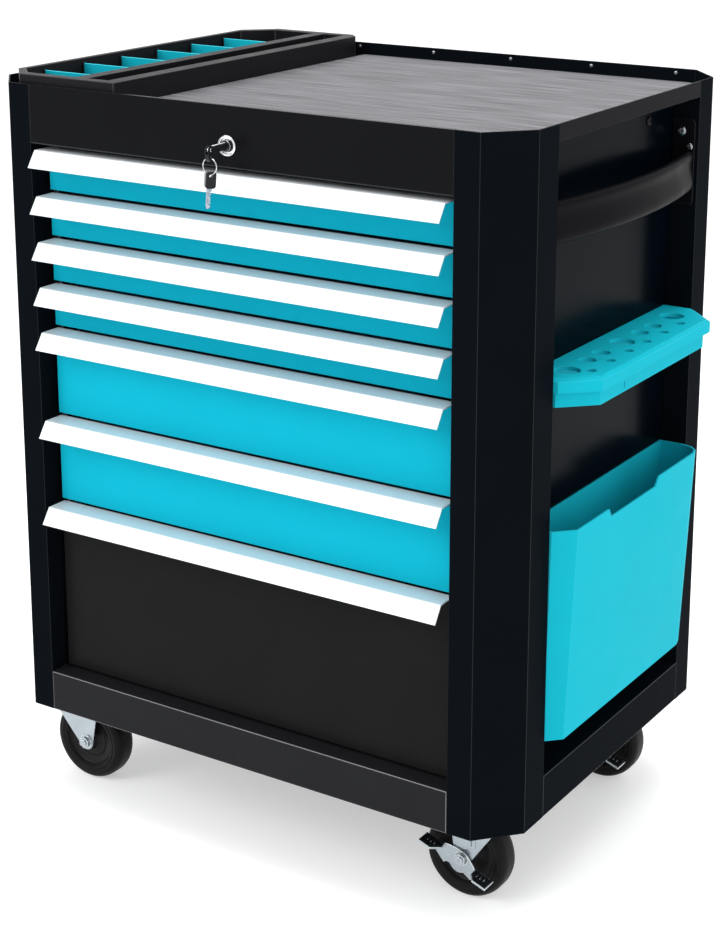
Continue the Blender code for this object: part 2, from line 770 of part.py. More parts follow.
def organiser():
    """A tray with a wide left zone for cross-dividers and a long narrow right channel."""
    chamfer_x, chamfer_y = 0.036, 0.036
    outer = [
        (TRAY_RIGHT, TRAY_FRONT),
        (TRAY_RIGHT, TRAY_BACK - 0.010),
        (TRAY_RIGHT - 0.010, TRAY_BACK),
        (TRAY_LEFT + chamfer_x, TRAY_BACK),
        (TRAY_LEFT, TRAY_BACK - chamfer_y),
        (TRAY_LEFT, TRAY_FRONT + chamfer_y - 0.006),
        (TRAY_LEFT + chamfer_x - 0.008, TRAY_FRONT),
    ]
    paint = rubber
    tray = add_part("organiser_tray", prism(outer, XY, TRAY_BOTTOM, TRAY_TOP), paint)
    floor, front, back = TRAY_BOTTOM + 0.0022, TRAY_FRONT + 0.012, TRAY_BACK - 0.010
    left, wall = TRAY_LEFT + 0.006, -0.2175
    zone = [
        (wall, front),
        (wall, back),
        (left + chamfer_x - 0.004, back),
        (left, back - chamfer_y + 0.004),
        (left, front + chamfer_y - 0.012),
        (left + chamfer_x - 0.012, front),
    ]
    channel_low = (wall + 0.015, front, floor)
    channel_high = (TRAY_RIGHT - 0.017, back, TRAY_TOP + 0.02)
    cut(tray, together(prism(zone, XY, floor, TRAY_TOP + 0.02), box(channel_low, channel_high)))

    for i in range(DIVIDERS):
        y = DIVIDER_FIRST + DIVIDER_PITCH * i
        low = (left + GAP, y - 0.0008, floor + GAP)
        plate = box(low, (wall - GAP, y + 0.0008, TRAY_TOP - 0.006))
        add_part(f"organiser_divider_{i + 1}", plate, cyan_plastic)


def chamfered(inner, outer, front, back, chamfer, inset=0.0):
    """The plan of a side accessory: flat against the panel, its two outer corners cut off."""
    out, near, far = outer - inset, front + inset, back - inset
    return [
        (inner, near),
        (out - chamfer, near),
        (out, near + chamfer),
        (out, far - chamfer),
        (out - chamfer, far),
        (inner, far),
    ]


def holder_holes():
    """Three big holes with two medium ones after each but the last, and an outer row of small ones."""
    for i in range(3):
        y = HOLE_FIRST + BIG_HOLE_PITCH * i
        yield INNER_ROW_X, y, BIG_HOLE
        if i < 2:
            yield INNER_ROW_X, y + 0.35 * BIG_HOLE_PITCH, MEDIUM_HOLE
            yield INNER_ROW_X, y + 0.61 * BIG_HOLE_PITCH, MEDIUM_HOLE
    for i in range(6):
        yield OUTER_ROW_X, SMALL_HOLE_FIRST + SMALL_HOLE_PITCH * i, SMALL_HOLE


def tool_holder():
    """A rack with a lipped plate over a set-in body, open below, with two rows of holes."""
    inner = PANEL_X + GAP
    front, back = ACCESSORY_FRONT, ACCESSORY_BACK
    lip = chamfered(inner, HOLDER_OUT, front, back, HOLDER_CHAMFER)
    holder = add_part("tool_holder", prism(lip, XY, HOLDER_TOP - 0.015, HOLDER_TOP), cyan_plastic)
    body = chamfered(inner, HOLDER_OUT, front, back, HOLDER_CHAMFER, inset=0.0055)
    join(holder, prism(body, XY, HOLDER_TOP - 0.032, HOLDER_TOP - 0.014))
    wall = 0.0030
    hollow = chamfered(
        inner + wall, HOLDER_OUT, front + wall, back - wall, HOLDER_CHAMFER, inset=0.0055 + wall
    )
    holes = [
        cylinder((x, y, HOLDER_TOP - 0.012), (x, y, HOLDER_TOP + 0.01), radius, segments=16)
        for x, y, radius in holder_holes()
    ]
    room = prism(hollow, XY, HOLDER_TOP - 0.05, HOLDER_TOP - HOLDER_PLATE)
    cut(holder, room, together(*holes))


def bin_outline(outer, front, back, chamfer, turn):
    """The bin's plan: flat against the panel, its front corner cut off and its rear one round."""
    inner = PANEL_X + GAP
    near = [(inner, front), (outer - chamfer, front), (outer, front + chamfer)]
    return near + arc((outer - turn, back - turn), turn, 0, 90, 3) + [(inner, back)]


def side_bin():
    """A tapered open bin whose outer wall has a cut-down middle."""
    front, back, turn = ACCESSORY_FRONT, ACCESSORY_BACK, 0.024
    top = bin_outline(0.362, front, back, 0.020, turn)
    bottom = bin_outline(0.353, front + 0.001, back - 0.006, 0.016, turn)
    shape = bmesh.new()
    high = [shape.verts.new((x, y, BIN_TOP)) for x, y in top]
    low = [shape.verts.new((x, y, BIN_BOTTOM)) for x, y in bottom]
    for i, vertex in enumerate(high):
        after = (i + 1) % len(high)
        shape.faces.new((low[i], low[after], high[after], vertex))
    shape.faces.new(reversed(low))
    side = add_part("side_bin", shape, cyan_plastic)
    thicken(side, 0.0022)
    notch = [(0.180, BIN_TOP + 0.02), (0.180, BIN_TOP), (0.186, BIN_TOP - 0.010)]
    notch += [(0.296, BIN_TOP - 0.010), (0.304, BIN_TOP), (0.304, BIN_TOP + 0.02)]
    cut(side, prism(notch, YZ, 0.335, 0.400))


clear_scene()
PARTS = new_collection("rolling_tool_chest")
CUTTERS = new_collection("cutters", hidden=True)
CHEST = new_empty("chest", (0, 0, 0))
CHEST.location = BODY_OFFSET

corner_posts()
back_shell()
side_panels()
side_rails()
front_base_rail()
base_pan()
lock_fascia()
worktop()
push_handle()
drawers()
keys(lock())
fixed_caster("front", FRONT_CASTER_Y)
fixed_caster("rear", REAR_CASTER_Y)
swivel_caster("front", SWIVEL_FRONT_Y)
swivel_caster("rear", SWIVEL_REAR_Y)
organiser()
tool_holder()
side_bin()
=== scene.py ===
"""The looks of the rolling tool chest: materials, fine meshes, the studio and the camera.

Places are in the cabinet's own coordinates, in metres: X from its middle to the right, Y from its
front faces to the back, Z up from its lower edge. spot() takes them to the frame.
"""

import json
from math import cos, pi, radians, sin

import bmesh
import bpy
from mathutils import Matrix, Vector

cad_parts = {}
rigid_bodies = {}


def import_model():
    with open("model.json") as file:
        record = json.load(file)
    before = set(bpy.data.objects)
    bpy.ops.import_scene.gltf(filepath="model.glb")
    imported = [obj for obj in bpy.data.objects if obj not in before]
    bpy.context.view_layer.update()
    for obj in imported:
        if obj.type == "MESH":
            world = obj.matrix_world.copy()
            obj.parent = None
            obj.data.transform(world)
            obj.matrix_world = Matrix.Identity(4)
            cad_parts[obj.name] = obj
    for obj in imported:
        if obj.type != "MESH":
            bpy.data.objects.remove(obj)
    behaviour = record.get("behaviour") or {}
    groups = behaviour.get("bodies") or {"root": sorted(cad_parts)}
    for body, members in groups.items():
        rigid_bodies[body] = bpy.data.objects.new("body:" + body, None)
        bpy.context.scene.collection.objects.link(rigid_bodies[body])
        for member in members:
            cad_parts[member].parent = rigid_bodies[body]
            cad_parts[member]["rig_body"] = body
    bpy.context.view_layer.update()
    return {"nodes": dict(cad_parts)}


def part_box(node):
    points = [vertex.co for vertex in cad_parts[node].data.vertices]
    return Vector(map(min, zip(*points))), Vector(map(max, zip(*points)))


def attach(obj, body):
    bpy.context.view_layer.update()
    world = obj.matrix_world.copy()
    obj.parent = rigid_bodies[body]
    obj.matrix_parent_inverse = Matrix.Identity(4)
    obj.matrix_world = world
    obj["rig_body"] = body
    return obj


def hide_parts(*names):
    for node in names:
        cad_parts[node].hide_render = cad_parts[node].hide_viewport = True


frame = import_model()
NODES = frame["nodes"]

FASCIA_LOW, FASCIA_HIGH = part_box("lock_fascia")
ORIGIN = Vector(((FASCIA_LOW.x + FASCIA_HIGH.x) / 2, FASCIA_LOW.y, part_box("side_rail_right")[0].z))
DRAWERS = 7
SKIN = 0.0003


def spot(x, y, z):
    return ORIGIN + Vector((x, y, z))


def cabinet_box(node):
    """A CAD node's box in the cabinet's coordinates."""
    low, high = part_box(node)
    return low - ORIGIN, high - ORIGIN


# --- Materials -----------------------------------------------------------------------------------


def add_node(tree, kind, inputs=None, **settings):
    node = tree.nodes.new(kind)
    for name, value in settings.items():
        setattr(node, name, value)
    for name, value in (inputs or {}).items():
        if hasattr(value, "links"):
            tree.links.new(value, node.inputs[name])
        else:
            node.inputs[name].default_value = value
    return node


def noise(tree, scale, detail=3.0, stretch=None):
    """Noise in object space; stretch is the pattern's scale along each axis."""
    coordinates = add_node(tree, "ShaderNodeTexCoord").outputs["Object"]
    if stretch:
        mapping = add_node(tree, "ShaderNodeMapping", {"Vector": coordinates, "Scale": stretch})
        coordinates = mapping.outputs["Vector"]
    pattern = {"Vector": coordinates, "Scale": scale, "Detail": detail}
    return add_node(tree, "ShaderNodeTexNoise", pattern).outputs["Fac"]


def spread(tree, value, low, high, start=0.3, end=0.7):
    limits = {"Value": value, "From Min": start, "From Max": end, "To Min": low, "To Max": high}
    return add_node(tree, "ShaderNodeMapRange", limits).outputs["Result"]


def shade(colour, factor):
    return (*(min(1.0, part * factor) for part in colour), 1)


def surface(
    name,
    colour,
    roughness,
    metallic=0.0,
    vary=0.05,
    cloud=14.0,
    rough_vary=0.05,
    grain=1400.0,
    depth=0.00001,
    stretch=None,
    edge=0.0005,
    coat=0.0,
    specular=0.5,
):
    """A finish with clouded colour and roughness, a fine grain and softened edges."""
    material = bpy.data.materials.new(name)
    material.use_nodes = True
    tree = material.node_tree
    shader = tree.nodes["Principled BSDF"]
    shader.inputs["Metallic"].default_value = metallic
    shader.inputs["Coat Weight"].default_value = coat
    shader.inputs["Coat Roughness"].default_value = 0.08
    shader.inputs["Specular IOR Level"].default_value = specular
    clouds = noise(tree, cloud, stretch=stretch)
    blend = add_node(tree, "ShaderNodeMix", {"Factor": spread(tree, clouds, 0.0, 1.0)}, data_type="RGBA")
    colours = [socket for socket in blend.inputs if socket.type == "RGBA"]
    colours[0].default_value = shade(colour, 1 - vary)
    colours[1].default_value = shade(colour, 1 + vary)
    mixed = [socket for socket in blend.outputs if socket.type == "RGBA"][0]
    tree.links.new(mixed, shader.inputs["Base Color"])
    smudges = noise(tree, cloud * 2.3, detail=5.0, stretch=stretch)
    rough = spread(tree, smudges, max(0.02, roughness - rough_vary), roughness + rough_vary)
    tree.links.new(rough, shader.inputs["Roughness"])
    rounded = add_node(tree, "ShaderNodeBevel", {"Radius": edge}, samples=4)
    fine = noise(tree, grain, detail=2.0, stretch=stretch)
    bump = {"Height": fine, "Distance": depth, "Strength": 1.0, "Normal": rounded.outputs["Normal"]}
    normal = add_node(tree, "ShaderNodeBump", bump).outputs["Normal"]
    tree.links.new(normal, shader.inputs["Normal"])
    return material


# The lighter, glossier edge finishes below are copies of their paints that go on the bevels as painted
# highlights along the edges.
BLACK = surface("black_paint", (0.0032, 0.0045, 0.0064), 0.24, specular=0.0025, grain=1100.0)
RIM = surface("rim_paint", (0.0064, 0.0064, 0.0090), 0.26, specular=0.015, grain=1100.0)
BLACK_HIGHLIGHT = surface("black_paint_highlight", (0.009, 0.010, 0.012), 0.18, specular=0.22, grain=1100.0)
FASCIA = surface("fascia_paint", (0.0052, 0.0054, 0.0060), 0.26, specular=0.03, grain=1100.0)
RAIL = surface("rail_paint", (0.0135, 0.0138, 0.0158), 0.30, specular=0.04, grain=1100.0)
RAIL_HIGHLIGHT = surface("rail_paint_highlight", (0.160, 0.160, 0.170), 0.26, specular=0.40, grain=1100.0)
DRAWER_BLACK = surface("black_drawer_paint", (0.0096, 0.0096, 0.0098), 0.28, specular=0.025, grain=1100.0)
PANEL = surface(
    "panel_paint", (0.0010, 0.0026, 0.0048), 0.22, rough_vary=0.02, specular=0.018, depth=0.000004
)
HANDLE_PAINT = surface("handle_paint", (0.0050, 0.0050, 0.0062), 0.34, specular=0.018, grain=2200.0)
HANDLE_HIGHLIGHT = surface("handle_paint_highlight", (0.012, 0.012, 0.014), 0.28, specular=0.12, grain=2200.0)
CYAN = surface(
    "cyan_paint", (0.005, 0.375, 0.505), 0.32, vary=0.015, rough_vary=0.02, specular=0.006, grain=1100.0
)
CYAN_HIGHLIGHT = surface("cyan_paint_highlight", (0.045, 0.58, 0.72), 0.26, vary=0.02, specular=0.3, grain=1100.0)
PLASTIC = surface(
    "cyan_plastic", (0.008, 0.415, 0.525), 0.48, vary=0.02, specular=0.010, grain=2600.0, depth=0.00002
)
PLASTIC_HIGHLIGHT = surface("cyan_plastic_highlight", (0.060, 0.62, 0.73), 0.34, vary=0.02, specular=0.3, grain=2600.0)
SILVER = surface("silver_paint", (0.76, 0.81, 0.84), 0.34, 0.15, vary=0.006, rough_vary=0.01, depth=0.000001)
ZINC = surface(
    "zinc_plate", (0.38, 0.43, 0.46), 0.26, 0.95, vary=0.07, cloud=40.0, rough_vary=0.04, grain=900.0
)
ZINC_HIGHLIGHT = surface("zinc_highlight", (0.86, 0.89, 0.90), 0.22, 0.9, vary=0.04, rough_vary=0.03, grain=900.0)
PAD = surface("pad_plate", (0.040, 0.048, 0.058), 0.24, 0.8, vary=0.15, cloud=90.0, rough_vary=0.05)
CHROME = surface("chrome_plate", (0.78, 0.79, 0.81), 0.08, 1.0, vary=0.03, rough_vary=0.03, edge=0.0002)
DULL_CHROME = surface("dull_chrome", (0.42, 0.43, 0.45), 0.20, 1.0, vary=0.05, rough_vary=0.04, edge=0.0002)
SCREW = surface("screw_steel", (0.30, 0.31, 0.33), 0.26, 1.0, vary=0.08, rough_vary=0.05, edge=0.0002)
PLUG = surface("lock_plug", (0.045, 0.046, 0.050), 0.18, 0.75, vary=0.08, rough_vary=0.04, edge=0.0002)
RUBBER = surface("tyre_rubber", (0.0045, 0.0045, 0.0052), 0.42, vary=0.12, rough_vary=0.03, specular=0.10)
HUB = surface(
    "hub_plastic", (0.0070, 0.0070, 0.0080), 0.36, vary=0.1, specular=0.12, grain=1900.0, depth=0.00002
)
TRAY = surface(
    "tray_plastic", (0.0066, 0.0066, 0.0080), 0.40, vary=0.08, specular=0.08, grain=2400.0, depth=0.00003
)
TRAY_HIGHLIGHT = surface("tray_highlight", (0.030, 0.030, 0.034), 0.34, vary=0.05, specular=0.3, grain=2400.0)
KEY_SIDE = surface("key_side", (0.34, 0.35, 0.37), 0.30, 0.45, vary=0.05, rough_vary=0.04)
KEY_STEEL = surface("key_steel", (0.36, 0.40, 0.46), 0.24, 0.75, vary=0.30, cloud=420.0, rough_vary=0.06)
KEY_PLASTIC = surface("key_plastic", (0.0090, 0.0095, 0.0110), 0.30, vary=0.06, specular=0.20, grain=2600.0)
MAT = surface(
    "ribbed_mat",
    (0.118, 0.118, 0.127),
    0.50,
    vary=0.42,
    cloud=26.0,
    rough_vary=0.12,
    grain=900.0,
    depth=0.00008,
    stretch=(0.35, 9.0, 1.0),
    specular=0.35,
)
# Each paint's lighter copy, painted on its bevels as a highlight along the edges.
EDGE_HIGHLIGHTS = {
    "black_paint": BLACK_HIGHLIGHT,
    "fascia_paint": BLACK_HIGHLIGHT,
    "rim_paint": BLACK_HIGHLIGHT,
    "rail_paint": RAIL_HIGHLIGHT,
    "handle_paint": HANDLE_HIGHLIGHT,
    "cyan_paint": CYAN_HIGHLIGHT,
    "cyan_plastic": PLASTIC_HIGHLIGHT,
    "zinc_plate": ZINC_HIGHLIGHT,
    "tray_plastic": TRAY_HIGHLIGHT,
}


def cad_finish(node):
    """The finish of a CAD node that is shown as it is."""
    if node.endswith("_handle") and node.startswith("drawer"):
        return SILVER
    if node == "drawer_7_box":
        return DRAWER_BLACK
    if node.startswith("drawer"):
        return CYAN
    if node.startswith(("fixed", "swivel", "brake", "caster", "runner")) or node == "lock_bar":
        return ZINC
    if node.startswith("organiser_divider") or node in ("tool_holder", "side_bin"):
        return PLASTIC
    if node.startswith("wheel"):
        return RUBBER
    finishes = {
        "lock_barrel": CHROME,
        "lock_cylinder": PLUG,
        "key_blade": DULL_CHROME,
        "key_ring": CHROME,
        "key_head": KEY_PLASTIC,
        "side_panel_left": PANEL,
        "side_panel_right": PANEL,
        "lock_fascia": FASCIA,
        "front_base_rail": RAIL,
        "worktop_pan": RIM,
        "push_handle": HANDLE_PAINT,
        "organiser_tray": TRAY,
        "worktop_mat": MAT,
    }
    return finishes.get(node, BLACK)


for cad_name, cad_object in NODES.items():
    cad_object.data.materials.clear()
    cad_object.data.materials.append(cad_finish(cad_name))


# --- Shapes --------------------------------------------------------------------------------------


def piece(name, shape, material, body, smooth=35, stands_for=()):
    """A piece from a mesh in the cabinet's coordinates, riding on a body."""
    bmesh.ops.translate(shape, verts=shape.verts, vec=ORIGIN)
    bmesh.ops.recalc_face_normals(shape, faces=shape.faces)
    mesh = bpy.data.meshes.new(name)
    shape.to_mesh(mesh)
    shape.free()
    obj = bpy.data.objects.new(name, mesh)
    bpy.context.scene.collection.objects.link(obj)
    mesh.materials.append(material)
    if smooth:
        mesh.shade_smooth()
        mesh.set_sharp_from_angle(angle=radians(smooth))
    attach(obj, body)
    if stands_for:
        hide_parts(*stands_for)
    return obj


def paint_edge_highlight(obj, bevel):
    """Gives a bevel a lighter, glossier copy of the piece's finish: a painted highlight along the edge."""
    finish = obj.data.materials[0]
    if finish.name in EDGE_HIGHLIGHTS:
        obj.data.materials.append(EDGE_HIGHLIGHTS[finish.name])
        bevel.material = 1


def rounded(obj, width, segments=3, angle=30):
    bevel = obj.modifiers.new("Bevel", "BEVEL")
    paint_edge_highlight(obj, bevel)
    bevel.width = width
    bevel.segments = segments
    bevel.limit_method = "ANGLE"
    bevel.angle_limit = radians(angle)
    bevel.harden_normals = True
    return obj


def box(low, high):
    low, high = Vector(low), Vector(high)
    shape = bmesh.new()
    place = Matrix.Translation((low + high) / 2) @ Matrix.Diagonal((*(high - low), 1))
    bmesh.ops.create_cube(shape, size=1, matrix=place)
    return shape


def cylinder(start, end, radius, end_radius=None, segments=48):
    start, end = Vector(start), Vector(end)
    along = end - start
    turn = along.to_track_quat("Z", "Y").to_matrix().to_4x4()
    shape = bmesh.new()
    bmesh.ops.create_cone(
        shape,
        cap_ends=True,
        segments=segments,
        radius1=radius,
        radius2=radius if end_radius is None else end_radius,
        depth=along.length,
        matrix=Matrix.Translation((start + end) / 2) @ turn,
    )
    return shape


def together(*shapes):
    whole = bmesh.new()
    for shape in shapes:
        mesh = bpy.data.meshes.new("body")
        shape.to_mesh(mesh)
        shape.free()
        whole.from_mesh(mesh)
        bpy.data.meshes.remove(mesh)
    return whole


def lathe(profile, centre, axis="Y", segments=96):
    """A closed profile of radius and height, turned about an axis through the centre."""
    shape = bmesh.new()
    rings = []
    for i in range(segments):
        angle = 2 * pi * i / segments
        c, s = cos(angle), sin(angle)
        if axis == "Y":
            ring = [(r * c, h, r * s) for r, h in profile]
        else:
            ring = [(r * c, r * s, h) for r, h in profile]
        rings.append([shape.verts.new(Vector(point) + Vector(centre)) for point in ring])
    count = len(profile)
    for i in range(segments):
        ring, after = rings[i], rings[(i + 1) % segments]
        for j in range(count):
            k = (j + 1) % count
            shape.faces.new((ring[j], ring[k], after[k], after[j]))
    return shape


def plate(outline, axis, low, high):
    """A flat outline with thickness along an axis: (y, z) for X, (x, z) for Y and (x, y) for Z."""
    place = {
        "X": lambda u, v, w: (w, u, v),
        "Y": lambda u, v, w: (u, w, v),
        "Z": lambda u, v, w: (u, v, w),
    }[axis]
    shape = bmesh.new()
    near = [shape.verts.new(place(u, v, low)) for u, v in outline]
    far = [shape.verts.new(place(u, v, high)) for u, v in outline]
    shape.faces.new(near)
    shape.faces.new(list(reversed(far)))
    for i in range(len(outline)):
        j = (i + 1) % len(outline)
        shape.faces.new((near[j], near[i], far[i], far[j]))
    return shape


def arc(centre, radius, start, end, steps):
    angles = [radians(start + (end - start) * i / steps) for i in range(steps + 1)]
    return [(centre[0] + radius * cos(a), centre[1] + radius * sin(a)) for a in angles]


def loft(rings):
    """A closed solid through rings of points, each ring with as many points as the next."""
    shape = bmesh.new()
    rows = [[shape.verts.new(point) for point in ring] for ring in rings]
    for row, after in zip(rows, rows[1:]):
        for i in range(len(row)):
            j = (i + 1) % len(row)
            shape.faces.new((row[i], row[j], after[j], after[i]))
    shape.faces.new(list(reversed(rows[0])))
    shape.faces.new(rows[-1])
    return shape


def turned_shape(shape, angle, axis, centre):
    matrix = Matrix.Rotation(angle, 3, axis)
    bmesh.ops.rotate(shape, verts=shape.verts, cent=Vector(centre), matrix=matrix)
    return shape


def helper(name, shape):
    """A cutter: it is used and then removed."""
    bmesh.ops.translate(shape, verts=shape.verts, vec=ORIGIN)
    bmesh.ops.recalc_face_normals(shape, faces=shape.faces)
    mesh = bpy.data.meshes.new(name)
    shape.to_mesh(mesh)
    shape.free()
    obj = bpy.data.objects.new(name, mesh)
    bpy.context.scene.collection.objects.link(obj)
    return obj


def carve(obj, shape, operation="DIFFERENCE"):
    """Cuts or joins a shape, with the result applied to the piece's mesh."""
    cutter = helper("cutter", shape)
    modifier = obj.modifiers.new("Boolean", "BOOLEAN")
    modifier.operation = operation
    modifier.object = cutter
    graph = bpy.context.evaluated_depsgraph_get()
    mesh = bpy.data.meshes.new_from_object(obj.evaluated_get(graph))
    obj.modifiers.clear()
    obj.data = mesh
    bpy.data.objects.remove(cutter)
    return obj


def refined(node, edge, fold=None, segments=3, smooth=30, clamp=True):
    """A copy of a CAD node whose cut edges and folds are rounded, and which stands for it.

    The grips' narrow folds are rounded without the bevel's clamp, which left stray faces across their ends.
    """
    shape = bmesh.new()
    shape.from_mesh(NODES[node].data)
    bmesh.ops.translate(shape, verts=shape.verts, vec=-ORIGIN)
    bmesh.ops.remove_doubles(shape, verts=shape.verts, dist=0.00002)
    bmesh.ops.dissolve_limit(shape, angle_limit=radians(1.5), verts=shape.verts, edges=shape.edges)
    widest = max(edge, fold or 0)
    weights = shape.edges.layers.float.new("bevel_weight_edge")
    for line in shape.edges:
        if len(line.link_faces) != 2 or line.calc_face_angle(0) < radians(smooth):
            continue
        is_fold = fold and not any(is_thin(face) for face in line.link_faces)
        line[weights] = 1.0 if is_fold or not fold else edge / widest
    body = NODES[node]["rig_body"]
    copy = piece(f"{node}_skin", shape, cad_finish(node), body, smooth + 5, stands_for=(node,))
    bevel = copy.modifiers.new("Bevel", "BEVEL")
    bevel.limit_method = "WEIGHT"
    bevel.width = widest
    bevel.segments = segments
    bevel.harden_normals = True
    paint_edge_highlight(copy, bevel)
    bevel.use_clamp_overlap = clamp
    return copy


def is_thin(face):
    """Whether a face is a sheet's cut edge."""
    return face.calc_area() < 0.0026 * max(line.calc_length() for line in face.edges)


# --- Cabinet -------------------------------------------------------------------------------------

MAT_LOW, MAT_HIGH = cabinet_box("worktop_mat")
CHAMFER_X = 0.0400
CHAMFER_Y = 0.0445


def mat():
    """Fine ribs along the worktop, cut off at the two chamfered corners."""
    low, high = MAT_LOW.z, MAT_HIGH.z
    pitch, groove = 0.0040, 0.0007
    depth = MAT_HIGH.y - MAT_LOW.y
    count = int(depth / pitch) * 4
    shape = bmesh.new()
    rows = []
    for i in range(count + 1):
        y = MAT_LOW.y + depth * i / count
        from_corner = min(y - MAT_LOW.y, MAT_HIGH.y - y)
        inward = max(0.0, CHAMFER_Y - from_corner) * CHAMFER_X / CHAMFER_Y
        z = high - groove * (0.0, 0.35, 1.0, 0.35)[i % 4]
        rows.append([shape.verts.new((x, y, z)) for x in (MAT_LOW.x, MAT_HIGH.x - inward)])
    for row, after in zip(rows, rows[1:]):
        shape.faces.new((row[0], row[1], after[1], after[0]))
    edges = [line for line in shape.edges if line.is_boundary]
    skirt = bmesh.ops.extrude_edge_only(shape, edges=edges)
    for vertex in (part for part in skirt["geom"] if isinstance(part, bmesh.types.BMVert)):
        vertex.co.z = low
    piece("mat_ribs", shape, MAT, "cabinet", smooth=20, stands_for=("worktop_mat",))


def phillips(name, at, facing, radius, material=SCREW):
    """A domed screw head with a cross recess, standing on a face."""
    height = radius * 0.46
    profile = [(0.0, 0.0), (radius, 0.0), (radius, height * 0.25)]
    for degrees in (25, 45, 65, 80):
        rise = 0.25 + 0.75 * sin(radians(degrees))
        profile.append((radius * cos(radians(degrees)), height * rise))
    profile += [(0.0, height)]
    shape = lathe(profile, (0, 0, 0), axis="Z", segments=40)
    bmesh.ops.remove_doubles(shape, verts=shape.verts, dist=0.000005)
    arm, slit = radius * 0.52, radius * 0.13
    turn = Vector(facing).to_track_quat("Z", "Y").to_matrix().to_4x4()
    place = Matrix.Translation(at) @ turn
    shape.transform(place)
    head = piece(name, shape, material, "cabinet", smooth=40)
    for size in ((arm, slit), (slit, arm)):
        cut = box((-size[0], -size[1], height * 0.45), (size[0], size[1], height * 2))
        cut.transform(place)
        carve(head, cut)
    return head


def screws():
    handle_low, handle_high = cabinet_box("push_handle")
    panel_x = cabinet_box("side_panel_right")[1].x
    ends = (("rear", handle_high.y - 0.0020, (0, -1, 0)), ("front", handle_low.y + 0.0020, (0, 1, 0)))
    for x, z, radius in ((0.3200, 0.6905, 0.0058), (0.3300, 0.6734, 0.0044)):
        for end, y, facing in ends:
            phillips(f"bracket_screw_{end}_{int(radius * 10000)}", (x, y, z), facing, radius)
    phillips("panel_knob", (panel_x, 0.360, 0.7090), (1, 0, 0), 0.0056, HUB)
    back = cabinet_box("back_shell")[1].y - 0.0016
    first, pitch = 0.275, 0.109
    for i in range(6):
        phillips(f"lip_screw_{i + 1}", (first - pitch * i, back, 0.7425), (0, -1, 0), 0.0023)


def push_handle():
    """The grip: a pressed band with a rolled top edge that bulges out of the recess, and two brackets."""
    low, high = cabinet_box("push_handle")
    bottom, top = 0.624, 0.669
    front, back = low.y, high.y
    middle, half = (front + back) / 2, (back - front) / 2 - 0.0008
    bulge, ends = 0.0183, 0.3373
    section = [(-0.0125, top - 0.0030), (-0.0100, top - 0.0008), (-0.0062, top - 0.0002)]
    section += [(-0.0028, top - 0.0020), (-0.0014, top - 0.0058), (-0.0024, top - 0.0110)]
    section += [(-0.0030, top - 0.0160), (-0.0014, bottom + 0.0180), (0, bottom + 0.0105)]
    section += [(-0.0006, bottom + 0.0045), (-0.0030, bottom + 0.0006), (-0.0090, bottom)]
    stations = 28
    shape = bmesh.new()
    rows = []
    for i in range(stations + 1):
        t = 2 * i / stations - 1
        out = ends + bulge * (1 - t * t)
        rows.append([shape.verts.new((out + u, middle + half * t, z)) for u, z in section])
    for row, after in zip(rows, rows[1:]):
        for a, b, c, d in zip(row, row[1:], after[1:], after):
            shape.faces.new((a, b, c, d))
    stands_for = ("push_handle",)
    band = piece("grip_band", shape, HANDLE_PAINT, "cabinet", 60, stands_for)
    outward = sum(face.normal.x * face.area for face in band.data.polygons) > 0
    solidify = band.modifiers.new("Solidify", "SOLIDIFY")
    solidify.thickness = 0.0024
    solidify.offset = -1 if outward else 1
    subdivide = band.modifiers.new("Subdivision", "SUBSURF")
    subdivide.levels = subdivide.render_levels = 2
    for end, y0, y1 in (("front", front, front + 0.0020), ("rear", back - 0.0020, back)):
        outline = [(0.3095, 0.607), (0.3335, 0.607), (0.3362, 0.6105)]
        outline += [(0.3362, 0.7005), (0.3335, 0.705), (0.3095, 0.705)]
        shape = plate(outline, "Y", y0, y1)
        bracket = piece(f"grip_bracket_{end}", shape, HANDLE_PAINT, "cabinet")
        rounded(bracket, 0.0006)


def cabinet():
    for node in ("front_post_left", "front_post_right", "back_shell"):
        refined(node, 0.0004, fold=0.0030, segments=4)
    for node in ("side_rail_left", "side_rail_right", "front_base_rail", "lock_fascia"):
        refined(node, 0.0004, fold=0.0018, segments=4)
    for node in ("side_panel_left", "side_panel_right", "base_pan", "worktop_pan"):
        refined(node, 0.0003)
    mat()
    push_handle()
    screws()


# --- Drawers -------------------------------------------------------------------------------------


def drawers():
    for number in range(1, DRAWERS + 1):
        refined(f"drawer_{number}_handle", 0.0003, fold=0.0010, segments=4, clamp=False)
        refined(f"drawer_{number}_box", 0.0004, segments=2)


# --- Casters -------------------------------------------------------------------------------------


def wheel(name, body):
    """A rubber tyre with moulded rings on a dished hub."""
    low, high = cabinet_box(name)
    centre = (low + high) / 2
    half, radius = (high.y - low.y) / 2, (high.z - low.z) / 2 - 0.0001
    side = [
        (0.0335, half - 0.0030),
        (0.0340, half - 0.0012),
        (0.0358, half - 0.0004),
        (0.0378, half - 0.0003),
        (0.0384, half - 0.0010),
        (0.0392, half - 0.0003),
        (0.0436, half - 0.0003),
        (0.0442, half - 0.0009),
        (0.0450, half - 0.0005),
        (0.0470, half - 0.0018),
        (0.0487, half - 0.0042),
        (radius - 0.0002, half - 0.0075),
        (radius, half - 0.0100),
    ]
    profile = side + [(r, -h) for r, h in reversed(side)]
    tyre = piece(f"{name}_tyre", lathe(profile, centre), RUBBER, body, smooth=50, stands_for=(name,))
    face = [
        (0.0050, half),
        (0.0098, half),
        (0.0106, half - 0.0006),
        (0.0112, half - 0.0040),
        (0.0135, half - 0.0058),
        (0.0205, half - 0.0062),
        (0.0212, half - 0.0052),
        (0.0226, half - 0.0052),
        (0.0233, half - 0.0062),
        (0.0300, half - 0.0058),
        (0.0322, half - 0.0035),
        (0.0328, half - 0.0018),
        (0.0336, half - 0.0018),
    ]
    profile = face + [(r, -h) for r, h in reversed(face)]
    piece(f"{name}_hub", lathe(profile, centre), HUB, body, smooth=50)
    return tyre


